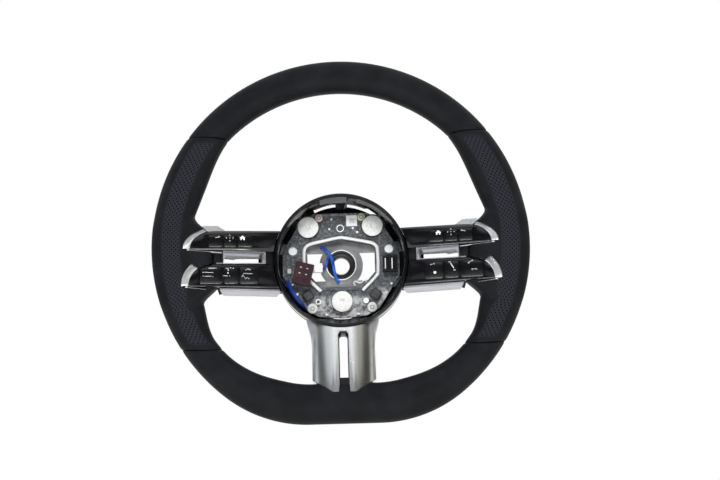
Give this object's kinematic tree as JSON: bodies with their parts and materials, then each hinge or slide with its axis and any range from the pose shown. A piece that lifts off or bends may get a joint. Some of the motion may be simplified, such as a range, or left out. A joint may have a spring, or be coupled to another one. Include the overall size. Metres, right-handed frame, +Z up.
{
  "type": "car steering wheel",
  "caption": "Flat-bottomed leather car steering wheel with double side spokes, sprung keys, shift paddles, forked lower spoke and an open hub without its airbag.",
  "frame": {"origin": "on the steering column's axis, at the rear face of the hub's steel sleeve", "axes": "+Y rearward along the column, away from the driver, +X to the driver's right, +Z up with the wheel straight ahead"},
  "size_m": [0.37, 0.0888, 0.358],
  "materials": {
    "magnesium": "as-cast satin",
    "steel": "machined",
    "foam": "matt moulded foam",
    "smooth_leather": "fine-grained matt leather",
    "perforated_leather": "perforated matt leather",
    "gloss_black": "high-gloss",
    "matt_black": "fine-grained matt",
    "carrier_grey": "satin grey",
    "pad_metal": "dull cast",
    "bright_wire": "bright drawn",
    "satin_silver": "satin silver paint",
    "bright_silver": "satin chrome",
    "key_black": "semi-gloss",
    "connector_plum": "satin",
    "white_plastic": "satin",
    "blue_sleeve": "satin",
    "dark_rubber": "matt",
    "paper_white": "matt",
    "grey_felt": "pressed felt"
  },
  "bodies": {
    "wheel": {"armature": "magnesium", "hub_sleeve": "steel", "rim_foam": "foam", "leather_top": "smooth_leather", "leather_bottom": "smooth_leather", "leather_left": "perforated_leather", "leather_right": "perforated_leather", "hub_bezel": "gloss_black", "rear_cover": "matt_black", "carrier_plate": "carrier_grey", "carrier_screws": "steel", "retainer_wire": "bright_wire", "horn_spring_left": "steel", "horn_spring_right": "steel", "horn_spring_lower": "steel", "housing_left": "matt_black", "housing_right": "matt_black", "gap_liner_left": "satin_silver", "gap_liner_right": "satin_silver", "upper_deck_left": "gloss_black", "upper_deck_right": "gloss_black", "lower_deck_left": "gloss_black", "lower_deck_right": "gloss_black", "upper_blade_left": "bright_silver", "upper_blade_right": "bright_silver", "lower_blade_left": "bright_silver", "lower_blade_right": "bright_silver", "under_strip_left": "satin_silver", "under_strip_right": "satin_silver", "paddle_bracket_left": "matt_black", "paddle_bracket_right": "matt_black", "paddle_pins": "steel", "fork_trim": "satin_silver", "fork_cover": "matt_black", "slot_frame": "gloss_black", "lead_connector": "connector_plum", "white_plug": "white_plastic", "airbag_leads": "blue_sleeve", "horn_lead": "blue_sleeve", "contact_socket": "matt_black", "damper_pads": "dark_rubber", "blank_label": "paper_white", "felt_strips": "grey_felt"},
    "back_key_left": {"back_key_left": "key_black"},
    "back_key_right": {"back_key_right": "key_black"},
    "touch_key_left": {"touch_key_left": "key_black"},
    "touch_key_right": {"touch_key_right": "key_black"},
    "home_key_left": {"home_key_left": "key_black"},
    "home_key_right": {"home_key_right": "key_black"},
    "end_rocker_left": {"end_rocker_left": "key_black"},
    "end_rocker_right": {"end_rocker_right": "key_black"},
    "mode_key_left": {"mode_key_left": "key_black"},
    "mode_key_right": {"mode_key_right": "key_black"},
    "star_key_left": {"star_key_left": "key_black"},
    "star_key_right": {"star_key_right": "key_black"},
    "horn_pad_left": {"horn_pad_left": "pad_metal"},
    "horn_pad_right": {"horn_pad_right": "pad_metal"},
    "horn_pad_lower": {"horn_pad_lower": "pad_metal"},
    "paddle_left": {"paddle_left": "bright_silver"},
    "paddle_right": {"paddle_right": "bright_silver"}
  },
  "joints": [
    {"name": "back_key_left_press", "type": "slide", "parent": "wheel", "child": "back_key_left", "axis": [-0.2164, 0.9763, 0], "range_m": [0, 0.0006], "stiffness_N_per_m": 1500},
    {"name": "back_key_right_press", "type": "slide", "parent": "wheel", "child": "back_key_right", "axis": [0.2164, 0.9763, 0], "range_m": [0, 0.0006], "stiffness_N_per_m": 1500},
    {"name": "touch_key_left_press", "type": "slide", "parent": "wheel", "child": "touch_key_left", "axis": [-0.2164, 0.9763, 0], "range_m": [0, 0.0006], "stiffness_N_per_m": 1500},
    {"name": "touch_key_right_press", "type": "slide", "parent": "wheel", "child": "touch_key_right", "axis": [0.2164, 0.9763, 0], "range_m": [0, 0.0006], "stiffness_N_per_m": 1500},
    {"name": "home_key_left_press", "type": "slide", "parent": "wheel", "child": "home_key_left", "axis": [-0.2164, 0.9763, 0], "range_m": [0, 0.0006], "stiffness_N_per_m": 1500},
    {"name": "home_key_right_press", "type": "slide", "parent": "wheel", "child": "home_key_right", "axis": [0.2164, 0.9763, 0], "range_m": [0, 0.0006], "stiffness_N_per_m": 1500},
    {"name": "end_rocker_left_press", "type": "hinge", "parent": "wheel", "child": "end_rocker_left", "pos_m": [-0.12787, -0.07784, -0.0142], "axis": [-0.9763, -0.2164, 0], "range_deg": [-2, 2], "stiffness_Nm_per_rad": 0.35},
    {"name": "end_rocker_right_press", "type": "hinge", "parent": "wheel", "child": "end_rocker_right", "pos_m": [0.12787, -0.07784, -0.0142], "axis": [0.9763, -0.2164, 0], "range_deg": [-2, 2], "stiffness_Nm_per_rad": 0.35},
    {"name": "mode_key_left_press", "type": "slide", "parent": "wheel", "child": "mode_key_left", "axis": [-0.2164, 0.9763, 0], "range_m": [0, 0.0006], "stiffness_N_per_m": 1500},
    {"name": "mode_key_right_press", "type": "slide", "parent": "wheel", "child": "mode_key_right", "axis": [0.2164, 0.9763, 0], "range_m": [0, 0.0006], "stiffness_N_per_m": 1500},
    {"name": "star_key_left_press", "type": "slide", "parent": "wheel", "child": "star_key_left", "axis": [-0.2164, 0.9763, 0], "range_m": [0, 0.0006], "stiffness_N_per_m": 1500},
    {"name": "star_key_right_press", "type": "slide", "parent": "wheel", "child": "star_key_right", "axis": [0.2164, 0.9763, 0], "range_m": [0, 0.0006], "stiffness_N_per_m": 1500},
    {"name": "horn_pad_left_press", "type": "slide", "parent": "wheel", "child": "horn_pad_left", "axis": [0, 1, 0], "range_m": [0, 0.002], "stiffness_N_per_m": 6000, "deforming": ["horn_spring_left"]},
    {"name": "horn_pad_right_press", "type": "slide", "parent": "wheel", "child": "horn_pad_right", "axis": [0, 1, 0], "range_m": [0, 0.002], "stiffness_N_per_m": 6000, "deforming": ["horn_spring_right"]},
    {"name": "horn_pad_lower_press", "type": "slide", "parent": "wheel", "child": "horn_pad_lower", "axis": [0, 1, 0], "range_m": [0, 0.002], "stiffness_N_per_m": 6000, "deforming": ["horn_spring_lower"]},
    {"name": "paddle_left_pull", "type": "hinge", "parent": "wheel", "child": "paddle_left", "pos_m": [-0.09351, -0.04103, 0.016], "axis": [0, 0, 1], "range_deg": [0, 4], "stiffness_Nm_per_rad": 3},
    {"name": "paddle_right_pull", "type": "hinge", "parent": "wheel", "child": "paddle_right", "pos_m": [0.09351, -0.04103, 0.016], "axis": [0, 0, 1], "range_deg": [-4, 0], "stiffness_Nm_per_rad": 3}
  ]
}
